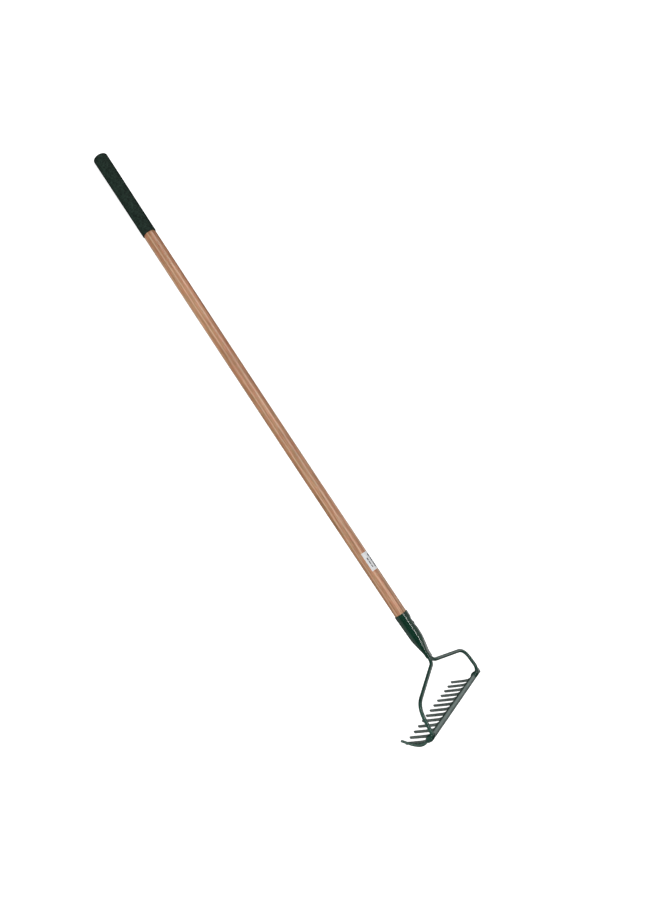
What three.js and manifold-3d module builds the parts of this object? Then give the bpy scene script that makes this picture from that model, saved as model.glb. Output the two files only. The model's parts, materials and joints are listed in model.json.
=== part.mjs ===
// Bow rake: a long wooden handle with a cushion grip, a rolled steel ferrule, two bow wires
// and a steel head bar with tines. It lies as it is put down, tines down, resting on the
// end of its grip and on the tips of its tines.
//
// Tool frame, millimetres: x across the head, y along the handle towards the head, z away
// from the tines. The tool frame's origin is on the handle's axis, where the bow wires leave
// the ferrule. The whole tool is then tilted until it rests, and moved so that the middle of
// its footprint is at the world's origin.
import * as THREE from 'three';
import { mergeVertices } from 'three/addons/utils/BufferGeometryUtils.js';
import Module from 'manifold-3d';

const wasm = await Module();
wasm.setup();

// ---- driving dimensions -------------------------------------------------------------
const GAP = 0.3; // clearance where two pieces touch

// How far the handle's axis lies below the tool frame's y axis at each end, and its bow between.
const BOW = { neck: 2.3, end: -0.8, middle: 2.8 };
const GRIP = { endY: -1329.5, edgeY: -1112, endRadius: 17, edgeRadius: 16.3, corner: 5, cap: 3 };
const WOOD = { gripRadius: 13.6, topRadius: 15, mouthRadius: 13.7, buttY: -1326, tipY: -44 };
const FERRULE = {
  mouthY: -111, shoulderY: -49, neckY: -15.5, tipY: -4, wall: 1, seamHalfAngle: 0.075,
  mouthRadius: 15.3, shoulderRadius: 13.7, neckHalfWidth: 9.4, neckHalfHeight: 5.3,
};
const RIVET = { y: -82, turn: -25, headRadius: 3.9, headHeight: 2.1, shankRadius: 1.9, depth: 11 };

const WIRE = { radius: 3.9, spread: 4.15, tangY: -38, bendY: -3.5, drop: 0.033 };
// The bow's outline beyond the neck, as [x, y] on the right-hand side.
const BOW_LINE = {
  neckCurve: 5.8, armStart: [16, 9.6], armEnd: [128, 37.1], turn: [157.6, 44.2], legStart: [161.2, 70.5],
  legEnd: [163.6, 86], foot: [165.2, 96], rightEnd: [166, 102.5], leftEnd: [151, 101],
};
const BAR = { innerY: 100, outerY: 111.2, topZ: -7.8, thickness: 6, leftX: -182, rightX: 173.5, corner: 2.5 };
const TINE = {
  pitch: 25.4, count: 13, firstX: -139.7, rootY: 106.3, tipZ: -65.5, kneeZ: -24, kneeRadius: 5,
  rake: 0.376, halfWidth: 3.2, halfDepth: 3.2, flareWidth: 6, flareDepth: 1.4,
};
const END_TINE = { rootX: 172.3, tipX: 177, tipY: 80.7, radius: 2.4 };
const PAD = { innerY: 98.6, slopeY: 103, outerY: 110.9, topZ: -1, edgeZ: -6.4, bottomZ: -18, corner: 3.5 };
const PAD_SPAN = { left: [-162, -142], right: [157, 174.6] };
const LABEL = { startY: -262, length: 43.6, thickness: 0.2, lift: 0.12, middle: 78, halfAngle: 50 };

const BAR_BOTTOM_Z = BAR.topZ - BAR.thickness;
const ROOT_Z = BAR_BOTTOM_Z - GAP;
const UNDER_PAD_Z = PAD.bottomZ - GAP; // where a tine starts that hangs from a weld
const TIP_BACK = 1.6; // how far behind its middle a tine's lowest point is

// ---- colours --------------------------------------------------------------------------
const enamel = { color: 0x24473c, roughness: 0.35, metalness: 0.1 };
const COLOURS = {
  wood: { color: 0xb98d6c, roughness: 0.45, metalness: 0 },
  grip: { color: 0x26342e, roughness: 0.75, metalness: 0 },
  ferrule: { color: 0x1a3a30, roughness: 0.3, metalness: 0.1 },
  steel: { color: 0x9aa09c, roughness: 0.35, metalness: 0.9 },
  head: enamel,
  tine: { color: 0x2b3934, roughness: 0.45, metalness: 0.2 },
  paper: { color: 0xe9e9e6, roughness: 0.6, metalness: 0 },
};

const tool = new THREE.Group();

function addPiece(name, geometry, colour) {
  const mesh = new THREE.Mesh(outward(geometry), new THREE.MeshStandardMaterial(COLOURS[colour]));
  mesh.name = name;
  tool.add(mesh);
  return mesh;
}

// ---- geometry helpers -----------------------------------------------------------------
const mix = (a, b, s) => a + (b - a) * s;
const clamp01 = (s) => Math.min(1, Math.max(0, s));
const ease = (s) => clamp01(s) ** 2 * (3 - 2 * clamp01(s));

// Merge the shared vertices and, if the faces point in, turn them round.
function outward(geometry) {
  geometry.deleteAttribute('normal');
  geometry.deleteAttribute('uv');
  const merged = mergeVertices(geometry, 1e-4);
  const [a, b, c] = [new THREE.Vector3(), new THREE.Vector3(), new THREE.Vector3()];
  const index = merged.index.array;
  let volume = 0;
  for (let i = 0; i < index.length; i += 3) {
    a.fromBufferAttribute(merged.attributes.position, index[i]);
    b.fromBufferAttribute(merged.attributes.position, index[i + 1]);
    c.fromBufferAttribute(merged.attributes.position, index[i + 2]);
    volume += a.dot(b.cross(c));
  }
  if (volume < 0) index.reverse();
  merged.computeVertexNormals();
  return merged;
}

function toManifold(geometry) {
  const solid = outward(geometry);
  return new wasm.Manifold(new wasm.Mesh({
    numProp: 3,
    vertProperties: new Float32Array(solid.attributes.position.array),
    triVerts: new Uint32Array(solid.index.array),
  }));
}

function fromManifold(solid) {
  const mesh = solid.getMesh();
  const geometry = new THREE.BufferGeometry();
  geometry.setAttribute('position', new THREE.BufferAttribute(mesh.vertProperties, 3));
  geometry.setIndex(new THREE.BufferAttribute(mesh.triVerts, 1));
  return geometry;
}

const cut = (geometry, cutter) => fromManifold(toManifold(geometry).subtract(toManifold(cutter)));

// A rectangle from (x0, y0) to (x1, y1) with its corners rounded.
function roundedRect(x0, y0, x1, y1, radius) {
  const shape = new THREE.Shape();
  shape.absarc(x1 - radius, y1 - radius, radius, 0, Math.PI / 2);
  shape.absarc(x0 + radius, y1 - radius, radius, Math.PI / 2, Math.PI);
  shape.absarc(x0 + radius, y0 + radius, radius, Math.PI, Math.PI * 1.5);
  shape.absarc(x1 - radius, y0 + radius, radius, Math.PI * 1.5, Math.PI * 2);
  return shape;
}

// Extrude a shape by one unit in a number of steps, then move each point (u, v, s).
function warped(shape, steps, curveSegments, warp) {
  const geometry = new THREE.ExtrudeGeometry(shape, { depth: 1, steps, curveSegments, bevelEnabled: false });
  const position = geometry.attributes.position;
  const point = new THREE.Vector3();
  for (let i = 0; i < position.count; i++) {
    point.fromBufferAttribute(position, i);
    const moved = warp(point.x, point.y, point.z);
    position.setXYZ(i, moved[0], moved[1], moved[2]);
  }
  return geometry;
}

const lathe = (profile, segments) => new THREE.LatheGeometry(
  profile.map(([r, y]) => new THREE.Vector2(r, y)), segments);

// ---- handle, grip and label -----------------------------------------------------------
// The height of the handle's axis in the tool frame: a straight fall and a slight bow.
function axisZ(y) {
  const along = clamp01(y / GRIP.endY);
  return -mix(BOW.neck, BOW.end, along) - BOW.middle * Math.sin(Math.PI * along);
}

// Move a piece that is built about the y axis on to the handle's axis.
function onAxis(geometry) {
  const position = geometry.attributes.position;
  for (let i = 0; i < position.count; i++) {
    position.setZ(i, position.getZ(i) + axisZ(position.getY(i)));
  }
  return geometry;
}

// The shaft's radius where it is bare wood.
const woodRadius = (y) => mix(WOOD.mouthRadius, WOOD.topRadius,
  (FERRULE.mouthY - y) / (FERRULE.mouthY - GRIP.edgeY));

// The ferrule's outer half-width and half-height, and how square its section is.
function ferruleSection(y) {
  const body = clamp01((y - FERRULE.mouthY) / (FERRULE.shoulderY - FERRULE.mouthY));
  const cone = clamp01((y - FERRULE.shoulderY) / (FERRULE.neckY - FERRULE.shoulderY));
  const radius = mix(FERRULE.mouthRadius, FERRULE.shoulderRadius, body);
  return {
    width: mix(radius, FERRULE.neckHalfWidth, cone),
    height: mix(radius, FERRULE.neckHalfHeight, cone),
    power: mix(2, 3, ease(cone)),
  };
}

function rivetPlaced(geometry) {
  return geometry.rotateX(Math.PI / 2) // the rivet's own axis is y, and now it is z
    .rotateY(THREE.MathUtils.degToRad(RIVET.turn))
    .translate(0, RIVET.y, 0);
}

const rivetSeat = ferruleSection(RIVET.y).width + GAP;
const rivetHole = () => rivetPlaced(
  new THREE.CylinderGeometry(RIVET.shankRadius + GAP, RIVET.shankRadius + GAP, 20, 14)
    .translate(0, rivetSeat - RIVET.depth - GAP + 10, 0));

function handleGeometry() {
  const inFerrule = FERRULE.wall + GAP;
  const shoulder = FERRULE.shoulderRadius - inFerrule;
  const profile = [
    [0, WOOD.buttY], [WOOD.gripRadius - 2, WOOD.buttY], [WOOD.gripRadius, WOOD.buttY + 2],
    [WOOD.gripRadius, GRIP.edgeY - 2],
  ];
  const steps = 10;
  for (let i = 0; i <= steps; i++) {
    const y = mix(GRIP.edgeY + 1, FERRULE.mouthY - 1, i / steps);
    profile.push([woodRadius(y), y]);
  }
  profile.push([FERRULE.mouthRadius - inFerrule, FERRULE.mouthY], [shoulder, FERRULE.shoulderY]);
  profile.push([shoulder - 4, WOOD.tipY], [0, WOOD.tipY]);
  return cut(lathe(profile, 36), rivetHole());
}

function gripGeometry() {
  const inner = WOOD.gripRadius + GAP;
  const { endY, edgeY, endRadius, edgeRadius, corner, cap } = GRIP;
  const profile = [[0, endY], [endRadius - corner, endY]];
  for (const turn of [30, 60, 90]) {
    const angle = THREE.MathUtils.degToRad(turn);
    profile.push([endRadius - corner + corner * Math.sin(angle), endY + corner - corner * Math.cos(angle)]);
  }
  profile.push([edgeRadius + 0.1, edgeY - 6], [edgeRadius - 0.6, edgeY - 2.5]);
  profile.push([inner, edgeY - 2.5], [inner, endY + cap], [0, endY + cap]);
  return lathe(profile, 36);
}

function labelGeometry() {
  const middle = THREE.MathUtils.degToRad(LABEL.middle);
  const half = THREE.MathUtils.degToRad(LABEL.halfAngle);
  const inner = woodRadius(LABEL.startY) + LABEL.lift;
  const shape = new THREE.Shape();
  shape.absarc(0, 0, inner + LABEL.thickness, middle - half, middle + half, false);
  shape.absarc(0, 0, inner, middle + half, middle - half, true);
  return warped(shape, 1, 8, (u, v, s) => [u, LABEL.startY + s * LABEL.length, v]);
}

// ---- ferrule and rivet ----------------------------------------------------------------
// A sheet rolled round the handle, its seam left open on the tines' side.
function ferruleGeometry() {
  const seam = Math.PI * 1.5;
  const from = seam + FERRULE.seamHalfAngle;
  const to = seam + Math.PI * 2 - FERRULE.seamHalfAngle;
  const shape = new THREE.Shape();
  shape.absarc(0, 0, 1, from, to, false);
  shape.absarc(0, 0, 0.8, to, from, true);
  const rolled = warped(shape, 14, 13, (u, v, s) => {
    const y = mix(FERRULE.mouthY, FERRULE.tipY, s);
    const { width, height, power } = ferruleSection(y);
    const thick = Math.hypot(u, v) > 0.9 ? 0 : FERRULE.wall;
    const angle = Math.atan2(v, u);
    const bend = (value) => Math.sign(value) * Math.abs(value) ** (2 / power);
    return [(width - thick) * bend(Math.cos(angle)), y, (height - thick) * bend(Math.sin(angle))];
  });
  return cut(rolled, rivetHole());
}

function rivetGeometry() {
  const { headRadius, headHeight, shankRadius, depth } = RIVET;
  const profile = [[0, rivetSeat - depth], [shankRadius, rivetSeat - depth], [shankRadius, rivetSeat]];
  for (let i = 0; i < 5; i++) {
    const angle = i / 5 * Math.PI / 2;
    profile.push([headRadius * Math.cos(angle), rivetSeat + headHeight * Math.sin(angle)]);
  }
  profile.push([0, rivetSeat + headHeight]);
  return rivetPlaced(lathe(profile, 14));
}

// ---- bow wires --------------------------------------------------------------------------
// side is 1 on the right and -1 on the left. The wire leaves the ferrule's neck, turns out
// to a long straight arm, and turns again into the leg that is welded to the bar. The left
// leg's last bit was knocked inwards when it was welded.
function bowPath(side) {
  const inNeck = (y) => new THREE.Vector3(side * WIRE.spread, y, axisZ(y));
  const at = (x, y) => new THREE.Vector3(side * x, y, -WIRE.drop * y);
  const { neckCurve, armStart, armEnd, turn, legStart, legEnd, foot } = BOW_LINE;
  const end = side > 0 ? BOW_LINE.rightEnd : BOW_LINE.leftEnd;
  const route = new THREE.CurvePath();
  route.add(new THREE.LineCurve3(inNeck(WIRE.tangY), inNeck(WIRE.bendY)));
  route.add(new THREE.QuadraticBezierCurve3(inNeck(WIRE.bendY), inNeck(neckCurve), at(...armStart)));
  route.add(new THREE.LineCurve3(at(...armStart), at(...armEnd)));
  route.add(new THREE.QuadraticBezierCurve3(at(...armEnd), at(...turn), at(...legStart)));
  route.add(new THREE.LineCurve3(at(...legStart), at(...legEnd)));
  route.add(new THREE.QuadraticBezierCurve3(at(...legEnd), at(...foot), at(...end)));
  return route;
}

function wireGeometry(side, radius) {
  const section = new THREE.Shape().absarc(0, 0, radius, 0, Math.PI * 2);
  return new THREE.ExtrudeGeometry(section, { extrudePath: bowPath(side), steps: 48, curveSegments: 6 });
}

// ---- head ---------------------------------------------------------------------------------
// The bar's outline with rounded corners, extruded up. It can be made larger all round by grow.
// Its left end sticks out past the weld.
function barGeometry(grow = 0) {
  const { leftX, rightX, innerY, outerY, corner } = BAR;
  const outline = roundedRect(leftX - grow, innerY - grow, rightX + grow, outerY + grow, corner);
  const thickness = BAR.thickness + 2 * grow;
  const geometry = new THREE.ExtrudeGeometry(outline, { depth: thickness, curveSegments: 3, bevelEnabled: false });
  return geometry.translate(0, 0, BAR_BOTTOM_Z - grow);
}

// Where the middle of a tine is at height z: straight below its knee, and swung back.
function tineY(z) {
  const below = Math.max(0, TINE.kneeZ - z);
  return TINE.rootY - TINE.rake * (Math.hypot(below, TINE.kneeRadius) - TINE.kneeRadius);
}

// One tine at x, from rootZ down to the ground. Its root flares out into the bar, but hardly
// does where it hangs from a weld.
function tineGeometry(x, rootZ, grow = 0) {
  const flareWidth = rootZ === ROOT_Z ? TINE.flareWidth : 1;
  const section = roundedRect(-1, -1, 1, 1, 0.7);
  return warped(section, 8, 1, (u, v, s) => {
    const z = mix(rootZ + grow, TINE.tipZ, 1 - (1 - s) ** 1.3);
    const flare = clamp01(1 - (ROOT_Z - z) / 9) ** 2;
    const narrow = mix(1, 0.86, clamp01((ROOT_Z - z) / (ROOT_Z - TINE.tipZ))) * (s === 1 ? 0.72 : 1);
    const width = TINE.halfWidth * narrow + flareWidth * flare + grow;
    const depth = TINE.halfDepth * narrow + TINE.flareDepth * flare + grow;
    return [x + u * width, tineY(z) + v * depth, z];
  });
}

// The claw at the right-hand end is thicker, leans out a little and curves back towards the
// handle, and its tip is on the same ground as the others.
function endTineGeometry(tipZ) {
  const at = (x, y, z) => new THREE.Vector3(x, y, z);
  const { rootX, tipX, tipY, radius } = END_TINE;
  const route = new THREE.CatmullRomCurve3([
    at(rootX, 106.4, UNDER_PAD_Z), at(rootX, 107.6, -26), at(mix(rootX, tipX, 0.3), 105, -37),
    at(mix(rootX, tipX, 0.6), 97.2, -49), at(tipX, tipY, tipZ),
  ]);
  const section = roundedRect(-1, -1, 1, 1, 0.8);
  return warped(section, 14, 2, (u, v, s) => {
    const middle = route.getPoint(s);
    const ahead = route.getTangent(s);
    const belly = Math.sin(Math.PI * clamp01(s * 1.25)) ** 2;
    const narrow = s === 1 ? 0.7 : 1;
    const width = (radius + 1.5 * belly) * narrow;
    const depth = (radius + 1.1 * belly) * narrow;
    // The section stays level across the tool, and square to the route in the other direction.
    const level = s === 0 || s === 1 ? at(0, 1, 0) : at(0, -ahead.z, ahead.y).normalize();
    return [middle.x + u * width, middle.y + level.y * v * depth, middle.z + level.z * v * depth];
  });
}

// A lump of weld round the bar and the end of a bow wire, lower towards the front.
function padGeometry(word, side) {
  const [fromX, toX] = PAD_SPAN[word];
  const outline = roundedRect(fromX, PAD.innerY, toX, PAD.outerY, PAD.corner);
  const lump = warped(outline, 3, 3, (u, v, s) => {
    const front = clamp01((v - PAD.slopeY) / (PAD.outerY - PAD.slopeY));
    return [u, v, mix(PAD.bottomZ, mix(PAD.topZ, PAD.edgeZ, front), s)];
  });
  let solid = toManifold(lump).subtract(toManifold(barGeometry(GAP)));
  solid = solid.subtract(toManifold(wireGeometry(side, WIRE.radius + GAP)));
  const neighbour = side < 0 ? tineGeometry(TINE.firstX, ROOT_Z, GAP) : null;
  return fromManifold(neighbour ? solid.subtract(toManifold(neighbour)) : solid);
}

// ---- assembly -----------------------------------------------------------------------------
// The ground touches the grip's lower edge and the tines' tips, so it slopes in the tool frame.
const contact = { gripY: GRIP.endY + GRIP.corner, tineY: tineY(TINE.tipZ) - TIP_BACK };
const gripLowZ = axisZ(contact.gripY) - GRIP.endRadius;
const slope = (gripLowZ - TINE.tipZ) / (contact.tineY - contact.gripY);
const groundZ = (y) => TINE.tipZ - (y - contact.tineY) * slope;

addPiece('handle', onAxis(handleGeometry()), 'wood');
addPiece('cushion_grip', onAxis(gripGeometry()), 'grip');
addPiece('handle_label', onAxis(labelGeometry()), 'paper');
addPiece('ferrule', onAxis(ferruleGeometry()), 'ferrule');
addPiece('ferrule_rivet', rivetGeometry().translate(0, 0, axisZ(RIVET.y)), 'steel');
for (const [word, side] of [['left', -1], ['right', 1]]) {
  addPiece(`bow_wire_${word}`, wireGeometry(side, WIRE.radius), 'head');
  addPiece(`weld_pad_${word}`, padGeometry(word, side), 'head');
}
addPiece('head_bar', barGeometry(), 'head');
for (let i = 0; i < TINE.count; i++) {
  const rootZ = i === TINE.count - 1 ? UNDER_PAD_Z : ROOT_Z;
  addPiece(`tine_${String(i + 1).padStart(2, '0')}`, tineGeometry(TINE.firstX + i * TINE.pitch, rootZ), 'tine');
}
addPiece('curved_end_tine', endTineGeometry(groundZ(END_TINE.tipY)), 'head');

tool.rotation.x = Math.atan(slope);
tool.updateMatrixWorld(true);
const box = new THREE.Box3().setFromObject(tool, true);
tool.position.set(-(box.min.x + box.max.x) / 2, -(box.min.y + box.max.y) / 2, -box.min.z);

const rake = new THREE.Group();
rake.add(tool);
rake.updateMatrixWorld(true);

export default rake;
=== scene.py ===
"""A bow rake in a white studio: wooden handle, cushion grip, enamelled ferrule, bow and head.

Every piece is built in the tool frame and carried into the world by TOOL. In the tool frame,
in millimetres, x runs across the head, y along the handle towards the head, and z away from
the tines. Its origin is just beyond the ferrule's tip, a little above the handle's axis.
"""
import json
import math

import bpy
from mathutils import Matrix, Vector, noise


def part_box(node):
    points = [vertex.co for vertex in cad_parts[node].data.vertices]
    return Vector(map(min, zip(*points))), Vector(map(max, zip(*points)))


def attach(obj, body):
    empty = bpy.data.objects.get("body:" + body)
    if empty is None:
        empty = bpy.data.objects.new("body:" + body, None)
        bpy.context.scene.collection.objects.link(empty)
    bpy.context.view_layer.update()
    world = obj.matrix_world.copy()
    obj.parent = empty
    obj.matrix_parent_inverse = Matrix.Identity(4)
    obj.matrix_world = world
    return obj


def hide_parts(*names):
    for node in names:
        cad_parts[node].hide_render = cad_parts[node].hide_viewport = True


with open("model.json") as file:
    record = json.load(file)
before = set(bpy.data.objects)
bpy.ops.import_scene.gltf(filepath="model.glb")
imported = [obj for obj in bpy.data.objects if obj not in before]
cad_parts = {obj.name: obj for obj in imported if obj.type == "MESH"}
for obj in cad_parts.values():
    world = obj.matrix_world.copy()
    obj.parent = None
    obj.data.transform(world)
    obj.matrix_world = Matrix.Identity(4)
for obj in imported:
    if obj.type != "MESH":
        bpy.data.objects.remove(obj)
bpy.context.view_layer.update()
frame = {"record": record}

# ---- the tool frame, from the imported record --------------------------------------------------
MM = 0.001
FACE_IN_TOOL = Vector((0, 111.2, -10.8))  # the mount "head_front_face", in the tool frame


def mount(name):
    return next(m for m in frame["record"]["mounts"] if m["name"] == name)


FACE = mount("head_front_face")
TILT = math.atan2(FACE["axis"][2], FACE["axis"][1])
TOOL = (
    Matrix.Translation(Vector(FACE["pos_m"]))
    @ Matrix.Rotation(TILT, 4, "X")
    @ Matrix.Scale(MM, 4)
    @ Matrix.Translation(-FACE_IN_TOOL)
)

# ---- dimensions, in millimetres --------------------------------------------------------------
# The handle's axis: how far below z = 0 it lies at the neck and at the grip's end, and its sag.
NECK_DROP, END_DROP, AXIS_SAG = 2.3, -0.8, 2.8

GRIP_END, GRIP_EDGE, GRIP_CORNER, GRIP_LIP = -1329.5, -1112, 5, 1.4
GRIP_END_RADIUS, GRIP_EDGE_RADIUS, GRIP_BORE = 17, 16.3, 13.9
GRIP_FLAT, GRIP_FLOOR = 11.5, 3  # the closed end's flat middle, and the thickness of its foam
GRIP_MOUTH = 4  # how far inside the grip's edge its lip starts

WOOD_BUTT, WOOD_TIP, WOOD_IN_GRIP = -1326, -44, 13.6
WOOD_TOP_RADIUS, WOOD_MOUTH_RADIUS = 15, 13.7

MOUTH_Y, SHOULDER_Y, NECK_Y, FERRULE_TIP = -111, -49, -15.5, -4
MOUTH_RADIUS, SHOULDER_RADIUS, NECK_HALF_WIDTH, NECK_HALF_HEIGHT = 15.3, 13.7, 9.4, 5.3
FERRULE_WALL, FERRULE_BLEND = 1, 8
RIVET_Y, RIVET_TURN = -82, -25  # the turn is in degrees, from the top towards the tool's left

WIRE_RADIUS, WIRE_SPREAD, WIRE_DROP = 3.9, 4.15, 0.033  # the drop is per millimetre of y

BAR_INNER, BAR_OUTER, BAR_LEFT, BAR_RIGHT = 100, 111.2, -182, 173.5
BAR_TOP, BAR_THICK = -7.8, 6

PITCH, TINES, FIRST_TINE = 25.4, 13, -139.7
ROOT_Z, TIP_Z, ROOT_Y = -14.1, -65.5, 106.3
KNEE_Z, KNEE_RADIUS, RAKE = -24, 5, 0.376  # the rake is y per millimetre below the knee
UNDER_PAD_Z = -18.3

# ---- camera, in the tool frame ---------------------------------------------------------------
CAMERA_AT = (1721, -282, 901)
LOOK_AT = (0, -481.9, 73.1)
ROLL = 53.385
LENS = 36.09


def make_camera():
    camera = bpy.data.objects.new("camera", bpy.data.cameras.new("camera"))
    bpy.context.collection.objects.link(camera)
    camera.data.lens = LENS
    camera.data.sensor_width = 36
    camera.data.clip_start = 0.05
    camera.data.clip_end = 300
    place = Vector(CAMERA_AT)
    aim = (Vector(LOOK_AT) - place).to_track_quat("-Z", "Y").to_matrix().to_4x4()
    turn = Matrix.Rotation(math.radians(ROLL), 4, "Z")
    rotation = Matrix.Rotation(TILT, 4, "X") @ aim @ turn
    camera.matrix_world = Matrix.Translation(TOOL @ place) @ rotation
    bpy.context.scene.camera = camera


make_camera()


# ---- numbers and curves ----------------------------------------------------------------------
def mix(a, b, s):
    return a + (b - a) * s


def clamp01(s):
    return min(1.0, max(0.0, s))


def ease(s):
    s = clamp01(s)
    return s * s * (3 - 2 * s)


def spread(start, end, count):
    """Evenly spaced numbers, with both ends."""
    return [mix(start, end, i / (count - 1)) for i in range(count)]


def through(knots, at):
    """Straight stretches through (place, value) knots, level beyond both ends."""
    if at <= knots[0][0]:
        return knots[0][1]
    for (p0, v0), (p1, v1) in zip(knots, knots[1:]):
        if at <= p1:
            return mix(v0, v1, (at - p0) / (p1 - p0))
    return knots[-1][1]


def smoothed(knots, at, width):
    """The same line with its corners rounded over a width."""
    samples = 9
    offsets = [(i / (samples - 1) - 0.5) * width for i in range(samples)]
    return sum(through(knots, at + offset) for offset in offsets) / samples


def circle(count):
    """The cosine and sine of evenly spaced angles."""
    angles = [2 * math.pi * j / count for j in range(count)]
    return [(math.cos(a), math.sin(a)) for a in angles]


def squircle_point(angle, power):
    """A point of a superellipse of half-width 1. Power 2 is a circle, and more is squarer."""
    c, s = math.cos(angle), math.sin(angle)
    return math.copysign(abs(c) ** (2 / power), c), math.copysign(abs(s) ** (2 / power), s)


def squircle(half_u, half_v, power, count):
    """Points round a superellipse."""
    turns = [2 * math.pi * (j + 0.5) / count for j in range(count)]
    corners = [squircle_point(turn, power) for turn in turns]
    return [(u * half_u, v * half_v) for u, v in corners]


def bezier(a, b, c, count):
    """Points on a quadratic curve, without its first."""
    return [a * (1 - t) ** 2 + b * (2 * t * (1 - t)) + c * t * t for t in spread(0, 1, count)][1:]


def spline(knots, steps):
    """Points on a Catmull-Rom curve through knots."""
    padded = [knots[0] * 2 - knots[1]] + knots + [knots[-1] * 2 - knots[-2]]
    points = [knots[0]]
    for a, b, c, d in zip(padded, padded[1:], padded[2:], padded[3:]):
        for t in spread(0, 1, steps)[1:]:
            bend = (a * 2 - b * 5 + c * 4 - d) * t * t
            twist = (b * 3 - a - c * 3 + d) * t ** 3
            points.append((b * 2 + (c - a) * t + bend + twist) * 0.5)
    return points


def heading(points, i):
    """The direction of a line of points at one of them."""
    return (points[min(i + 1, len(points) - 1)] - points[max(i - 1, 0)]).normalized()


def srgb(*levels):
    """0 to 255 screen levels as linear colour."""
    def linear(level):
        level /= 255
        return level / 12.92 if level <= 0.04045 else ((level + 0.055) / 1.055) ** 2.4
    return tuple(linear(level) for level in levels) + (1,)


class Paint:
    """Builds one node material, with texture coordinates in the tool frame in metres."""

    def __init__(self, name, **sockets):
        self.material = bpy.data.materials.new(name)
        self.material.use_nodes = True
        self.tree = self.material.node_tree
        self.shader = self.tree.nodes["Principled BSDF"]
        for socket, value in sockets.items():
            self.shader.inputs[socket.replace("_", " ")].default_value = value
        self.place = self.tool_place()

    def node(self, kind, **settings):
        made = self.tree.nodes.new(kind)
        for key, value in settings.items():
            setattr(made, key, value)
        return made

    def link(self, source, target):
        self.tree.links.new(source, target)

    def feed(self, socket, value):
        """Another node's output is linked to the socket, and a constant is set on it."""
        if hasattr(value, "is_linked"):
            self.link(value, socket)
        else:
            socket.default_value = value

    def tool_place(self):
        coordinates = self.node("ShaderNodeTexCoord")
        mapping = self.node("ShaderNodeMapping")
        turn_back = Matrix.Rotation(-TILT, 3, "X")
        origin = TOOL @ Vector((0, 0, 0))
        mapping.inputs["Rotation"].default_value = (-TILT, 0, 0)
        mapping.inputs["Location"].default_value = -(turn_back @ origin)
        self.link(coordinates.outputs["Object"], mapping.inputs["Vector"])
        return mapping.outputs["Vector"]

    def noise(self, scale, detail, roughness, source=None):
        made = self.node("ShaderNodeTexNoise")
        made.inputs["Scale"].default_value = scale
        made.inputs["Detail"].default_value = detail
        made.inputs["Roughness"].default_value = roughness
        self.link(source or self.place, made.inputs["Vector"])
        return made.outputs["Fac"]

    def grain(self, across, along, detail, roughness):
        """Noise drawn out along the handle: how many waves a metre holds across it and along it."""
        mapping = self.node("ShaderNodeMapping")
        mapping.inputs["Scale"].default_value = (across, along, across)
        self.link(self.place, mapping.inputs["Vector"])
        return self.noise(1, detail, roughness, mapping.outputs["Vector"])

    def ramp(self, source, *stops):
        made = self.node("ShaderNodeValToRGB")
        elements = made.color_ramp.elements
        while len(elements) < len(stops):
            elements.new(0.5)
        for element, (place, colour) in zip(elements, stops):
            element.position = place
            element.color = colour if hasattr(colour, "__len__") else (colour, colour, colour, 1)
        self.link(source, made.inputs["Fac"])
        return made.outputs["Color"]

    def blend(self, factor, a, b, kind="MIX"):
        made = self.node("ShaderNodeMix", data_type="RGBA", blend_type=kind)
        self.feed(made.inputs[0], factor)
        self.feed(made.inputs[6], a)
        self.feed(made.inputs[7], b)
        return made.outputs[2]

    def math(self, operation, a, b=0.0):
        made = self.node("ShaderNodeMath", operation=operation)
        self.feed(made.inputs[0], a)
        self.feed(made.inputs[1], b)
        return made.outputs[0]

    def rescale(self, source, **limits):
        made = self.node("ShaderNodeMapRange")
        for limit, value in limits.items():
            made.inputs[limit.replace("_", " ")].default_value = value
        self.link(source, made.inputs["Value"])
        return made.outputs["Result"]

    def colour(self, source):
        self.link(source, self.shader.inputs["Base Color"])

    def rough(self, source, low, high):
        level = self.rescale(source, To_Min=low, To_Max=high)
        self.link(level, self.shader.inputs["Roughness"])

    def bump(self, source, height_mm):
        made = self.node("ShaderNodeBump")
        made.inputs["Strength"].default_value = 1
        made.inputs["Distance"].default_value = height_mm * MM
        self.link(source, made.inputs["Height"])
        self.link(made.outputs["Normal"], self.shader.inputs["Normal"])


# ---- wood ------------------------------------------------------------------------------------
LAYER_WAVE = (293, -4.53, -609)  # radians per metre of x, y and z: layers 9.3 mm apart
# The start turns the pale bands to where light falls on the handle, so they are partly painted
# highlight.
LAYER_START, LAYER_WANDER = 1.12, 2.4  # radians


def layers_and_painted_highlight(paint):
    """How pale the wood is made by its growth layers, which drift slowly round the handle. Their
    pale bands are turned to lie where light falls, so they are partly wood grain and partly painted
    highlight.
    """
    across = paint.node("ShaderNodeVectorMath", operation="DOT_PRODUCT")
    across.inputs[1].default_value = LAYER_WAVE
    paint.link(paint.place, across.inputs[0])
    wander = paint.grain(across=40, along=2.5, detail=2, roughness=0.5)
    drift = paint.math("SUBTRACT", paint.math("MULTIPLY", wander, LAYER_WANDER), LAYER_START)
    phase = paint.math("ADD", across.outputs["Value"], drift)
    return paint.ramp(paint.math("SINE", phase), (0.3, 0.0), (0.95, 0.54))


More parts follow.
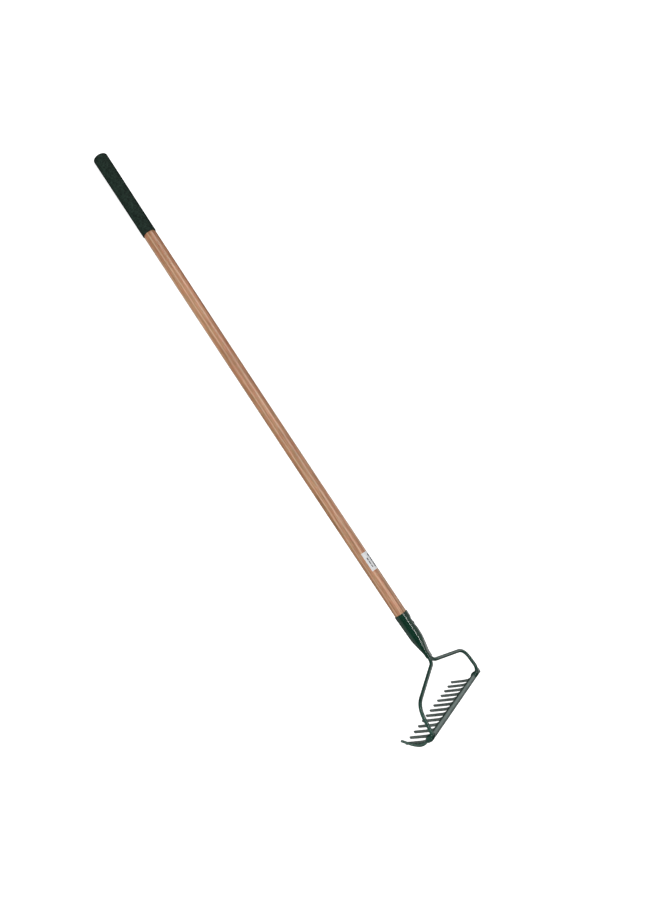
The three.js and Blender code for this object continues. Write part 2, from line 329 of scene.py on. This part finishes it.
def lacquered_wood():
    """Straight-grained hardwood: growth layers that are partly painted highlight, streaks, flecks
    and fine open pores.
    """
    paint = Paint("lacquered_wood", Coat_Weight=0.35, Coat_Roughness=0.3)
    base = paint.ramp(
        paint.grain(across=390, along=19, detail=4, roughness=0.6),
        (0.3, srgb(134, 84, 54)),
        (0.42, srgb(193, 136, 98)),
        (0.56, srgb(218, 161, 122)),
        (0.7, srgb(248, 206, 172)),
    )
    blotches = paint.ramp(
        paint.grain(across=60, along=3.5, detail=2, roughness=0.5),
        (0.3, srgb(186, 142, 96)),
        (0.5, srgb(218, 160, 120)),
        (0.72, srgb(226, 142, 110)),
    )
    base = paint.blend(0.36, base, blotches)
    # Pale bands: wood grain, and in part a painted highlight along the handle.
    base = paint.blend(layers_and_painted_highlight(paint), base, srgb(252, 214, 182))
    flecks = paint.ramp(
        paint.grain(across=330, along=75, detail=3, roughness=0.6),
        (0.36, srgb(226, 238, 208)),
        (0.5, srgb(255, 253, 251)),
        (0.63, srgb(255, 221, 205)),
    )
    fibres = paint.grain(across=1100, along=26, detail=4, roughness=0.65)
    pores = paint.grain(across=1500, along=38, detail=2, roughness=0.6)
    bands = paint.grain(across=150, along=6, detail=2, roughness=0.5)
    shades = (
        (0.6, flecks),
        (0.7, paint.ramp(fibres, (0.36, 0.74), (0.6, 1.06))),
        (0.8, paint.ramp(bands, (0.32, 0.72), (0.6, 1.0))),
        (0.4, paint.ramp(pores, (0.3, 0.45), (0.42, 1.0))),
    )
    for strength, shade in shades:
        base = paint.blend(strength, base, shade, "MULTIPLY")
    paint.colour(base)
    paint.rough(fibres, 0.36, 0.52)
    paint.bump(pores, 0.05)
    return paint.material


# ---- foam, enamel, paper and ink -------------------------------------------------------------
def grip_foam():
    """Closed-cell foam with a fine skin."""
    paint = Paint("grip_foam", Specular_IOR_Level=0.12)
    cells = paint.noise(scale=820, detail=4, roughness=0.65)
    patches = paint.noise(scale=60, detail=3, roughness=0.55)
    shade = paint.ramp(patches, (0.3, srgb(36, 53, 45)), (0.7, srgb(49, 68, 59)))
    specks = paint.ramp(cells, (0.38, 0.5), (0.6, 1.1))
    mottles = paint.noise(scale=270, detail=3, roughness=0.6)
    mottle = paint.ramp(mottles, (0.4, 0.5), (0.58, 1.04))
    shade = paint.blend(0.6, shade, specks, "MULTIPLY")
    paint.colour(paint.blend(1.0, shade, mottle, "MULTIPLY"))
    paint.rough(patches, 0.7, 0.88)
    paint.bump(cells, 0.12)
    return paint.material


def bar_sheen_mask(paint):
    """A mask for painted sheen: white on the middle of the bar's top face, where a reflection of
    light is painted in, black towards its edges, with a ragged border.
    """
    split = paint.node("ShaderNodeSeparateXYZ")
    paint.link(paint.place, split.inputs["Vector"])
    across = paint.rescale(split.outputs["Y"], From_Min=BAR_INNER * MM, From_Max=BAR_OUTER * MM)
    ragged = paint.math("SUBTRACT", paint.noise(scale=60, detail=3, roughness=0.6), 0.5)
    place = paint.math("ADD", across, paint.math("MULTIPLY", ragged, 0.22))
    return paint.ramp(place, (0.04, 0.0), (0.22, 1.0), (0.5, 1.0), (0.7, 0.0))


def enamel(name, deep, pale, gloss, peel=0.03, coat=0.5, sheen_face=None):
    """Dipped enamel: a little colour drift, faint orange peel and small scuffs. Its optional paler
    face colours are a painted sheen, laid on the middle of the bar's top face.
    """
    paint = Paint(name, Coat_Weight=coat, Coat_Roughness=0.08, Specular_IOR_Level=0.5)
    drift = paint.noise(scale=70, detail=3, roughness=0.5)
    fine = paint.noise(scale=900, detail=4, roughness=0.6)
    shade = paint.ramp(drift, (0.3, deep), (0.7, pale))
    # Painted sheen: paler colours on the middle of the bar's top face stand in for a reflection of
    # light.
    if sheen_face:
        painted_sheen = paint.ramp(drift, (0.3, sheen_face[0]), (0.7, sheen_face[1]))
        shade = paint.blend(bar_sheen_mask(paint), shade, painted_sheen)
    scuffs = paint.math("MULTIPLY", paint.ramp(fine, (0.62, 0.0), (0.72, 1.0)), 0.35)
    scuff_colour = tuple(min(1, level * 2.2 + 0.01) for level in pale[:3]) + (1,)
    paint.colour(paint.blend(scuffs, shade, scuff_colour))
    paint.rough(fine, gloss * 0.8, gloss * 1.3)
    paint.bump(paint.noise(scale=420, detail=2, roughness=0.5), peel)
    return paint.material


def label_paper():
    paint = Paint("label_paper", Roughness=0.55)
    fibres = paint.noise(scale=2500, detail=3, roughness=0.6)
    paint.colour(paint.ramp(fibres, (0.3, srgb(236, 238, 240)), (0.7, srgb(250, 250, 251))))
    paint.bump(fibres, 0.01)
    return paint.material


def ink_grey():
    paint = Paint("label_ink", Roughness=0.5)
    blots = paint.noise(scale=2200, detail=3, roughness=0.6)
    paint.colour(paint.ramp(blots, (0.3, srgb(62, 63, 68)), (0.7, srgb(98, 99, 105))))
    return paint.material


WOOD = lacquered_wood()
FOAM = grip_foam()
FERRULE_GREEN = enamel(
    "ferrule_enamel", srgb(14, 51, 38), srgb(22, 66, 50), gloss=0.2, peel=0.006, coat=1.0)
BOW_GREEN = enamel("bow_enamel", srgb(32, 66, 56), srgb(50, 90, 78), gloss=0.3)
# The end tine wears a paler copy of the bow's enamel: painted light, for the light its lower face
# catches.
CLAW_GREEN_LIT = enamel("claw_enamel_lit", srgb(56, 84, 75), srgb(80, 108, 98), gloss=0.34)
# Paler colours for the middle of the bar's top face: a painted sheen.
BAR_SHEEN = (srgb(112, 132, 127), srgb(130, 149, 143))
BAR_GREEN = enamel(
    "bar_enamel", srgb(44, 68, 61), srgb(60, 86, 78), gloss=0.42, coat=0.1, sheen_face=BAR_SHEEN)
TINE_GREEN = enamel("tine_enamel", srgb(86, 98, 93), srgb(110, 122, 117), gloss=0.36)
PAPER = label_paper()
INK = ink_grey()

# ---- meshes ----------------------------------------------------------------------------------
SHARP = math.radians(38)
CENTRE = 0.01  # the radius at which a turned profile starts and ends
TURNED_SIDES, WIRE_SIDES, RIVET_SIDES = 96, 28, 32


def add_piece(name, verts, faces, material, slot, node=None):
    """One mesh piece from tool-frame points. It rides on the root, and may replace a CAD node."""
    mesh = bpy.data.meshes.new(name)
    mesh.from_pydata([TOOL @ Vector(v) for v in verts], [], faces)
    mesh.validate()
    mesh.update()
    piece = bpy.data.objects.new(name, mesh)
    bpy.context.collection.objects.link(piece)
    mesh.polygons.foreach_set("use_smooth", [True] * len(mesh.polygons))
    mesh.set_sharp_from_angle(angle=SHARP)
    mesh.materials.append(material)
    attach(piece, "root")
    if node:
        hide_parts(node)
    return piece


def rings_mesh(rings):
    """Quads between closed rings of points, with a fan over each end."""
    size = len(rings[0])
    verts = [point for ring in rings for point in ring]
    faces = []
    for i in range(len(rings) - 1):
        for j in range(size):
            k = (j + 1) % size
            faces.append((i * size + j, i * size + k, (i + 1) * size + k, (i + 1) * size + j))
    for first in (0, (len(rings) - 1) * size):
        middle = sum((Vector(verts[first + j]) for j in range(size)), Vector()) / size
        verts.append(middle)
        for j in range(size):
            k = (j + 1) % size
            edge = (first + j, first + k) if first else (first + k, first + j)
            faces.append((edge[0], edge[1], len(verts) - 1))
    return verts, faces


def axis_z(y):
    """The height of the handle's axis: a straight fall towards the neck, and a slight sag."""
    along = clamp01(y / GRIP_END)
    return -mix(NECK_DROP, END_DROP, along) - AXIS_SAG * math.sin(math.pi * along)


def turned(profile):
    """Rings round the handle's axis: profile is a list of (radius, y)."""
    rings = []
    for radius, y in profile:
        middle = axis_z(y)
        rings.append([Vector((radius * c, y, middle - radius * s)) for c, s in circle(TURNED_SIDES)])
    return rings


def blunted(to_tip):
    """How much of its size a tooth keeps: to_tip is 0 at the tip and 1 where the tooth is whole."""
    if to_tip > 1:
        return 1
    return 0.6 + 0.4 * math.sqrt(max(0.0, 1 - (1 - to_tip) ** 2))


# ---- handle and grip -------------------------------------------------------------------------
def wood_radius(y):
    return mix(WOOD_MOUTH_RADIUS, WOOD_TOP_RADIUS, clamp01((MOUTH_Y - y) / (MOUTH_Y - GRIP_EDGE)))


def build_handle():
    """The wood: a chamfered butt in the grip, the bare length, and a whittled end in the ferrule."""
    chamfer = 2
    profile = [(CENTRE, WOOD_BUTT), (WOOD_IN_GRIP - chamfer, WOOD_BUTT)]
    profile += [(WOOD_IN_GRIP, WOOD_BUTT + chamfer), (WOOD_IN_GRIP, GRIP_EDGE - 2)]
    profile += [(wood_radius(y), y) for y in spread(GRIP_EDGE + 1, MOUTH_Y - 1, 90)]
    in_socket = [(13.6, MOUTH_Y + 1), (11.2, MOUTH_Y + 9), (10.8, SHOULDER_Y), (8.2, WOOD_TIP)]
    profile += in_socket + [(CENTRE, WOOD_TIP)]
    add_piece("handle_shaft", *rings_mesh(turned(profile)), WOOD, "lacquered_wood", "handle")


def build_grip():
    """A closed sleeve with a rounded end and a lip at its mouth."""
    corner_radius = GRIP_END_RADIUS - GRIP_CORNER
    profile = [(CENTRE, GRIP_END), (6, GRIP_END), (GRIP_FLAT, GRIP_END + 0.02)]
    for angle in spread(0, math.pi / 2, 9):
        radius = corner_radius + GRIP_CORNER * math.sin(angle)
        profile.append((radius, GRIP_END + GRIP_CORNER - GRIP_CORNER * math.cos(angle)))
    for y in spread(GRIP_END + 9, GRIP_EDGE - GRIP_MOUTH - 0.2, 60):
        along = (y - GRIP_END) / (GRIP_EDGE - GRIP_END)
        profile.append((mix(GRIP_END_RADIUS, GRIP_EDGE_RADIUS, ease(along)), y))
    for angle in spread(0.2, math.pi / 2, 6):
        radius = GRIP_EDGE_RADIUS - GRIP_LIP + GRIP_LIP * math.cos(angle)
        profile.append((radius, GRIP_EDGE - GRIP_MOUTH + GRIP_LIP * math.sin(angle)))
    profile += [(GRIP_BORE + 0.5, GRIP_EDGE - GRIP_MOUTH + GRIP_LIP)]
    profile += [(GRIP_BORE, GRIP_EDGE - GRIP_MOUTH)]
    profile += [(GRIP_BORE, GRIP_END + GRIP_FLOOR), (CENTRE, GRIP_END + GRIP_FLOOR)]
    mesh = rings_mesh(turned(profile))
    grip = add_piece("grip_sleeve", *mesh, FOAM, "grip_foam", "cushion_grip")


# ---- label -----------------------------------------------------------------------------------
LABEL_START, LABEL_LENGTH = -262, 43.6
LABEL_MIDDLE, LABEL_HALF = 78, 50  # degrees round the handle from the tool's right
LABEL_LIFT, LABEL_THICK, INK_LIFT, INK_THICK = 0.05, 0.12, 0.16, 0.03
# Printed bars: middle and half-width in degrees, then first and last place along the label.
PRINTED = (
    (88, 7, 6, 13.6),
    (88, 7, 15, 24.5),
    (88, 7, 26, 38.4),
    (54, 4.5, 13, 19.5),
    (54, 4.5, 21, 29),
    (54, 4.5, 30.4, 36.2),
    (112, 3, 8, 35),
)


def sheet(along, around, lift, thick):
    """A thin sheet on the handle, between two places along it and two angles round it."""
    rings = []
    for y in spread(*along, 12):
        middle = Vector((0, y, axis_z(y)))
        inner = wood_radius(y) + lift
        angles = [math.radians(a) for a in spread(*around, 28)]
        outward = [Vector((math.cos(a), 0, math.sin(a))) for a in angles]
        top = [middle + out * (inner + thick) for out in outward]
        rings.append(top + [middle + out * inner for out in reversed(outward)])
    return rings_mesh(rings)


def build_label():
    along = (LABEL_START, LABEL_START + LABEL_LENGTH)
    around = (LABEL_MIDDLE - LABEL_HALF, LABEL_MIDDLE + LABEL_HALF)
    paper = sheet(along, around, LABEL_LIFT, LABEL_THICK)
    add_piece("label_sheet", *paper, PAPER, "label_paper", "handle_label")
    for index, (middle, half, first, last) in enumerate(PRINTED):
        along = (LABEL_START + first, LABEL_START + last)
        print_mesh = sheet(along, (middle - half, middle + half), INK_LIFT, INK_THICK)
        add_piece(f"label_print_{index + 1}", *print_mesh, INK, "label_paper")


# ---- ferrule and rivet -----------------------------------------------------------------------
SEAM, SEAM_HALF_GAP = math.pi * 1.5, 0.075  # the seam faces the tines; both are in radians
# Knocks by the rivet: depth, place beyond the rivet and reach in millimetres, reach in radians.
KNOCKS = ((2.5, -8, 4.2, 0.45), (2.0, 1, 6, 0.5), (0.5, 9, 2.5, 0.3))
RIVET_RADIUS, RIVET_DOME, RIVET_SHANK, RIVET_DEPTH = 3.9, 2.1, 1.9, 9


def ferrule_section(y):
    """Outer half-width, half-height and squareness at y."""
    places = (MOUTH_Y, SHOULDER_Y, NECK_Y, FERRULE_TIP)
    widths = (MOUTH_RADIUS, SHOULDER_RADIUS, NECK_HALF_WIDTH, NECK_HALF_WIDTH)
    heights = (MOUTH_RADIUS, SHOULDER_RADIUS, NECK_HALF_HEIGHT, NECK_HALF_HEIGHT)
    width = smoothed(list(zip(places, widths)), y, FERRULE_BLEND)
    height = smoothed(list(zip(places, heights)), y, FERRULE_BLEND)
    return width, height, mix(2, 3, ease((y - SHOULDER_Y) / (NECK_Y - SHOULDER_Y)))


def knocked_in(y, angle):
    """How far the sheet is knocked in by the rivet, in millimetres."""
    turn = math.radians(90 - RIVET_TURN)
    aside = math.atan2(math.sin(angle - turn), math.cos(angle - turn))
    total = 0.0
    for depth, place, reach, reach_round in KNOCKS:
        far = ((y - RIVET_Y - place) / reach) ** 2 + (aside / reach_round) ** 2
        total += depth * math.exp(-far)
    return total


def build_ferrule():
    around = spread(SEAM + SEAM_HALF_GAP, SEAM + 2 * math.pi - SEAM_HALF_GAP, 150)
    edge_round, inside_limit = 0.3, 0.6
    places = [MOUTH_Y, MOUTH_Y + 0.4] + spread(MOUTH_Y + 1, FERRULE_TIP - 0.6, 130)
    places += [FERRULE_TIP - 0.2, FERRULE_TIP]
    rings = []
    for y in places:
        width, height, power = ferrule_section(y)
        edge = edge_round if y in (MOUTH_Y, FERRULE_TIP) else 0.0
        middle = axis_z(y)
        outside, inside = [], []
        for angle in around:
            u, v = squircle_point(angle, power)
            dent = knocked_in(y, angle)
            out = edge + dent
            into = FERRULE_WALL - edge + min(dent, inside_limit)
            outside.append(Vector(((width - out) * u, y, middle + (height - out) * v)))
            inside.append(Vector(((width - into) * u, y, middle + (height - into) * v)))
        rings.append(outside + inside[::-1])
    add_piece("ferrule_socket", *rings_mesh(rings), FERRULE_GREEN, "ferrule_enamel", "ferrule")


def build_rivet():
    """A domed head pressed in by the knocks. Its paint is the ferrule's."""
    seat = ferrule_section(RIVET_Y)[0] - 2.3
    place = Matrix.Translation((0, RIVET_Y, axis_z(RIVET_Y)))
    turn = place @ Matrix.Rotation(math.radians(RIVET_TURN), 4, "Y")
    profile = [(CENTRE, seat - RIVET_DEPTH), (RIVET_SHANK, seat - RIVET_DEPTH)]
    profile += [(RIVET_SHANK, seat - 0.2), (RIVET_RADIUS, seat - 0.2)]
    for t in spread(0.12, math.pi / 2 - 0.04, 10):
        profile.append((RIVET_RADIUS * math.cos(t), seat + RIVET_DOME * math.sin(t)))
    rings = [[turn @ Vector((r * c, r * s, z)) for c, s in circle(RIVET_SIDES)] for r, z in profile]
    mesh = rings_mesh(rings)
    add_piece("ferrule_rivet_head", *mesh, FERRULE_GREEN, "rivet_steel", "ferrule_rivet")


# ---- bow wires -------------------------------------------------------------------------------
# Places along y: where a wire starts inside the ferrule, leaves it, and has turned outwards.
WIRE_START, WIRE_LEAVES, WIRE_TURNS = -38, -3.5, 5.8
# Then x and y, mirrored for the left wire: arm, elbow, leg and foot. The two ends differ.
ARM_START, ARM_END, ELBOW = (16, 9.6), (128, 37.1), (157.6, 44.2)
LEG_START, LEG_END, FOOT = (161.2, 70.5), (163.6, 86), (165.2, 96)
RIGHT_END, LEFT_END = (166, 102.5), (151, 101)


def bow_points(side):
    def in_neck(y):
        return Vector((side * WIRE_SPREAD, y, axis_z(y)))

    def at(x, y):
        return Vector((side * x, y, -WIRE_DROP * y))

    def straight(start, end, count):
        steps = spread(0, 1, count)[1:]
        return [at(mix(start[0], end[0], t), mix(start[1], end[1], t)) for t in steps]

    points = [in_neck(y) for y in spread(WIRE_START, WIRE_LEAVES, 12)]
    points += bezier(in_neck(WIRE_LEAVES), in_neck(WIRE_TURNS), at(*ARM_START), 22)
    points += straight(ARM_START, ARM_END, 30)
    points += bezier(at(*ARM_END), at(*ELBOW), at(*LEG_START), 30)
    points += straight(LEG_START, LEG_END, 8)
    points += bezier(at(*LEG_END), at(*FOOT), at(*(RIGHT_END if side > 0 else LEFT_END)), 14)
    return points


def swept(points, radius_at):
    """Rings round a line of points, carried along without twisting."""
    rings = []
    normal = Vector((0, 0, 1))
    for i, point in enumerate(points):
        ahead = heading(points, i)
        normal = (normal - ahead * normal.dot(ahead)).normalized()
        beside = ahead.cross(normal)
        radius = radius_at(i / (len(points) - 1))
        rings.append([point + (beside * c + normal * s) * radius for c, s in circle(WIRE_SIDES)])
    return rings


def build_wire(word, side):
    def radius(s):
        return WIRE_RADIUS * min(1, 0.55 + 40 * min(s, 1 - s))
    mesh = rings_mesh(swept(bow_points(side), radius))
    add_piece(f"bow_arm_{word}", *mesh, BOW_GREEN, "bow_enamel", f"bow_wire_{word}")


# ---- weld lumps ------------------------------------------------------------------------------
LUMP_MIDDLE_Y, LUMP_HALF_Y = 104.8, 6.1
LUMP_BOTTOM, LUMP_TOP, LUMP_FRONT_TOP = -18, -1.2, -6.6
LUMP_SLOPE_Y, LUMP_SLOPE = 102, 8  # where its top starts to fall towards the front, and how far
LUMP_FULLNESS, LUMP_CLOSING, LUMP_SMALLEST = 9, 0.24, 0.05  # how its size closes in at both ends
LUMP_ROUGH, BEAD_HEIGHT = 0.5, 0.16


def build_lump(word, from_x, to_x):
    """A lump of weld round the bar and the wire's end, its surface rippled like laid beads."""
    middle_x, half_x = (from_x + to_x) / 2, (to_x - from_x) / 2 - 0.1
    rings = []
    for turn in spread(0, math.pi, 61):
        s = (1 - math.cos(turn)) / 2
        swell = max(0.0, 1 - abs(2 * s - 1) ** LUMP_FULLNESS) ** LUMP_CLOSING
        size = max(LUMP_SMALLEST, swell)
        ring = []
        for u, v in squircle(half_x * size, LUMP_HALF_Y * size, power=5, count=72):
            front = clamp01((LUMP_MIDDLE_Y + v - LUMP_SLOPE_Y) / LUMP_SLOPE)
            z = mix(LUMP_BOTTOM, mix(LUMP_TOP, LUMP_FRONT_TOP, front), s)
            lump = LUMP_ROUGH * noise.noise(Vector((u * 0.45 + middle_x, v * 0.5, z * 0.35)))
            bead = BEAD_HEIGHT * math.sin(u * 1.7 + 0.6 * math.sin(v))
            grow = 0.98 + (lump + bead) / 16
            place = (middle_x + u * grow, LUMP_MIDDLE_Y + v * grow, z + lump * 0.6 * swell)
            ring.append(Vector(place))
        rings.append(ring[::-1])
    mesh = rings_mesh(rings)
    add_piece(f"weld_lump_{word}", *mesh, BOW_GREEN, "bow_enamel", f"weld_pad_{word}")


# ---- bar -------------------------------------------------------------------------------------
FRONT_TOP_EDGE, BACK_TOP_EDGE, BACK_LOW_EDGE, FRONT_LOW_EDGE = 1.5, 1.0, 1.2, 1.4
NEAR_CORNER, FAR_CORNER, CORNER_CUT, LARGEST_PULL = 5, 1.6, 0.9, 3.4
END_ROUND, BAR_WAVE = 0.8, 0.1


def bar_section(shrink, pull):
    """The bar's outline at one place: its front top edge is rounded more than the others."""
    inner, outer = BAR_INNER + shrink + pull, BAR_OUTER - shrink - pull
    top, bottom = BAR_TOP - shrink, BAR_TOP - BAR_THICK + shrink
    corners = (
        (outer, top, FRONT_TOP_EDGE),
        (inner, top, BACK_TOP_EDGE),
        (inner, bottom, BACK_LOW_EDGE),
        (outer, bottom, FRONT_LOW_EDGE),
    )
    points = []
    for quarter, (y, z, radius) in enumerate(corners):
        centre_y = y - math.copysign(radius, y - (inner + outer) / 2)
        centre_z = z - math.copysign(radius, z - (top + bottom) / 2)
        for step in range(9):
            angle = math.radians(90 * quarter + 90 * step / 8)
            points.append((centre_y + radius * math.cos(angle), centre_z + radius * math.sin(angle)))
    return points


def build_bar():
    """A flat bar, slightly uneven. Its right end has larger corners than its left."""
    reaches = (0, 0.15, 0.5, 1, 1.7, 2.6, 3.7, 5)
    xs = [BAR_LEFT + reach for reach in reaches] + spread(BAR_LEFT + 7, BAR_RIGHT - 7, 120)
    xs += [BAR_RIGHT - reach for reach in reaches[::-1]]
    rings = []
    for x in xs:
        end = min(BAR_RIGHT - x, x - BAR_LEFT)
        corner = NEAR_CORNER if x > 0 else FAR_CORNER
        shrink = END_ROUND * (1 - math.sqrt(1 - (1 - min(1, end)) ** 2))
        pull = corner - math.sqrt(corner ** 2 - max(0.0, corner - CORNER_CUT - end) ** 2)
        ring = []
        for y, z in bar_section(shrink, min(pull, LARGEST_PULL)):
            wave = BAR_WAVE * noise.noise(Vector((x * 0.05, y * 0.2, z * 0.2)))
            ring.append(Vector((x, y + wave - BAR_WAVE, z + wave - BAR_WAVE)))
        rings.append(ring)
    add_piece("bar_flat", *rings_mesh(rings), BAR_GREEN, "bar_enamel", "head_bar")


# ---- tines -----------------------------------------------------------------------------------
TINE_HALF, TINE_TIP_SHARE, TINE_TIP_LENGTH, TINE_SINK = 3.2, 0.86, 2.0, 0.9
FLARE_HEIGHT, FLARE_WIDTH, FLARE_UNDER_PAD, FLARE_DEPTH = 9, 6, 1, 1.4


def tine_y(z):
    below = max(0.0, KNEE_Z - z)
    return ROOT_Y - RAKE * (math.hypot(below, KNEE_RADIUS) - KNEE_RADIUS)


def tine_rings(x, root_z, seed):
    """A square tooth that flares where it meets the bar and has a blunt tip."""
    flare_width = FLARE_WIDTH if root_z == ROOT_Z else FLARE_UNDER_PAD
    rings = []
    for s in [i / 64 for i in range(65)]:
        z = mix(root_z + TINE_SINK, TIP_Z, 1 - (1 - s) ** 1.6)
        below = max(0.0, ROOT_Z - z)
        flare = clamp01(1 - below / FLARE_HEIGHT) ** 2
        narrow = mix(1, TINE_TIP_SHARE, below / (ROOT_Z - TIP_Z))
        blunt = blunted((z - TIP_Z) / TINE_TIP_LENGTH)
        wobble = 1 + 0.03 * noise.noise(Vector((seed, z * 0.15, 1.3)))
        half = TINE_HALF * narrow * wobble
        width = (half + flare_width * flare) * blunt
        depth = (half + FLARE_DEPTH * flare) * blunt
        middle = tine_y(z)
        outline = squircle(width, depth, power=3, count=28)
        rings.append([Vector((x + u, middle + v, z)) for u, v in outline][::-1])
    return rings


def build_tines():
    for i in range(TINES):
        name = f"tine_{i + 1:02d}"
        root_z = UNDER_PAD_Z if i == TINES - 1 else ROOT_Z
        mesh = rings_mesh(tine_rings(FIRST_TINE + i * PITCH, root_z, i * 7.1))
        add_piece(f"{name}_tooth", *mesh, TINE_GREEN, "tine_enamel", name)


# ---- claw ------------------------------------------------------------------------------------
CLAW_ROOT_X, CLAW_TIP_X, CLAW_TIP_Y, CLAW_TIP_INSET = 172.3, 176.8, 80.9, 0.9
# Its route down to the tip: the share of the lean from root to tip, then y and z.
CLAW_ROUTE = ((0, 106.4, UNDER_PAD_Z + 0.8), (0, 107.6, -26), (0.3, 105, -37), (0.6, 97.2, -49))
CLAW_HALF, CLAW_BELLY_WIDTH, CLAW_BELLY_DEPTH = 2.4, 1.5, 1.1
CLAW_LENGTH, CLAW_TIP_LENGTH = 58, 2.2


def build_claw():
    """The end tine: thicker in its middle, leaning out and curving back towards the handle."""
    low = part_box("curved_end_tine")[0]
    tip_z = (TOOL.inverted() @ Vector(low)).z + CLAW_TIP_INSET
    knots = [Vector((mix(CLAW_ROOT_X, CLAW_TIP_X, lean), y, z)) for lean, y, z in CLAW_ROUTE]
    points = spline(knots + [Vector((CLAW_TIP_X, CLAW_TIP_Y, tip_z))], 16)
    rings = []
    for i, point in enumerate(points):
        s = i / (len(points) - 1)
        belly = math.sin(math.pi * clamp01(s * 1.25)) ** 2
        blunt = blunted((1 - s) * CLAW_LENGTH / CLAW_TIP_LENGTH)
        width = (CLAW_HALF + CLAW_BELLY_WIDTH * belly) * blunt
        depth = (CLAW_HALF + CLAW_BELLY_DEPTH * belly) * blunt
        ahead = heading(points, i)
        level = Vector((0, -ahead.z, ahead.y)).normalized()
        outline = squircle(width, depth, power=2.6, count=30)
        rings.append([point + Vector((u, 0, 0)) + level * v for u, v in outline][::-1])
    add_piece("curved_end_tooth", *rings_mesh(rings), CLAW_GREEN_LIT, "bow_enamel", "curved_end_tine")


build_handle()
build_grip()
build_label()
build_ferrule()
build_rivet()
build_wire("left", -1)
build_wire("right", 1)
build_lump("left", -162, -142)
build_lump("right", 157, 174.6)
build_bar()
build_tines()
build_claw()

# ---- studio and light ------------------------------------------------------------------------
STUDIO_REACH = 60  # metres


def plain_white(name):
    material = bpy.data.materials.new(name)
    material.use_nodes = True
    shader = material.node_tree.nodes["Principled BSDF"]
    shader.inputs["Base Color"].default_value = (0.8, 0.8, 0.8, 1)
    shader.inputs["Roughness"].default_value = 0.9
    shader.inputs["Specular IOR Level"].default_value = 0.1
    shader.inputs["Emission Color"].default_value = (1, 1, 1, 1)
    shader.inputs["Emission Strength"].default_value = 0.9
    return material


def build_studio():
    """A white floor with a round wall and roof, far outside. Only the camera sees it."""
    rings = []
    for climb in spread(0, math.pi / 2 - 0.02, 12):
        radius, height = STUDIO_REACH * math.cos(climb), STUDIO_REACH * math.sin(climb)
        rings.append([Vector((radius * c, radius * s, height)) for c, s in circle(64)])
    verts, faces = rings_mesh(rings)
    mesh = bpy.data.meshes.new("studio_floor")
    mesh.from_pydata(verts, [], faces)
    studio = bpy.data.objects.new("studio_floor", mesh)
    bpy.context.collection.objects.link(studio)
    mesh.materials.append(plain_white("studio_white"))
    studio.visible_diffuse = False
    studio.visible_glossy = False
    studio.visible_shadow = False


def add_panel(name, elevation, turn, distance, size, radiance, glossy=True, diffuse=True):
    """A soft rectangular light aimed at the handle's middle, its long side along the tool.

    Elevation and turn are in degrees: turn 0 is the tool's right, and 180 is its left.
    The distance and the size are in metres.
    """
    light = bpy.data.lights.new(name, "AREA")
    light.shape = "RECTANGLE"
    light.size, light.size_y = size
    light.energy = radiance * size[0] * size[1] * math.pi
    panel = bpy.data.objects.new(name, light)
    bpy.context.collection.objects.link(panel)
    up, round_y = math.radians(elevation), math.radians(turn)
    back = Vector((math.cos(up) * math.cos(round_y), math.cos(up) * math.sin(round_y), math.sin(up)))
    across = Vector((0, 1, 0)).cross(back).normalized()
    along = back.cross(across)
    middle = Vector((0, 0, 0.05))
    place = Matrix.Translation(middle + back * distance)
    panel.matrix_world = place @ Matrix((across, along, back)).transposed().to_4x4()
    panel.visible_camera = False
    panel.visible_glossy = glossy
    panel.visible_diffuse = diffuse


def build_light():
    """Broad light from the side, a narrow strip for the highlight, and panels for the sheen."""
    world = bpy.data.worlds.new("studio")
    bpy.context.scene.world = world
    world.use_nodes = True
    world.cycles_visibility.glossy = False
    background = world.node_tree.nodes["Background"]
    background.inputs["Color"].default_value = (1, 1, 1, 1)
    background.inputs["Strength"].default_value = 0.28
    add_panel("front", 6, -6, 3.4, size=(3.0, 3.4), radiance=2.3, glossy=False)
    add_panel("strip", 62, 0, 1.9, size=(0.07, 9.0), radiance=27, diffuse=False)
    add_panel("overhead", 100, 0, 2.6, size=(2.4, 4.5), radiance=0.75, glossy=False)
    add_panel("overhead_sheen", 97, 0, 2.6, size=(3.2, 4.5), radiance=0.3, diffuse=False)
    add_panel("low_sheen", -66, 0, 2.0, size=(2.9, 4.5), radiance=0.26, diffuse=False)
    add_panel("far_wall", 27, 165, 2.6, size=(1.3, 2.4), radiance=0.9, diffuse=False)
    bpy.context.scene.view_settings.view_transform = "Standard"


build_studio()
build_light()
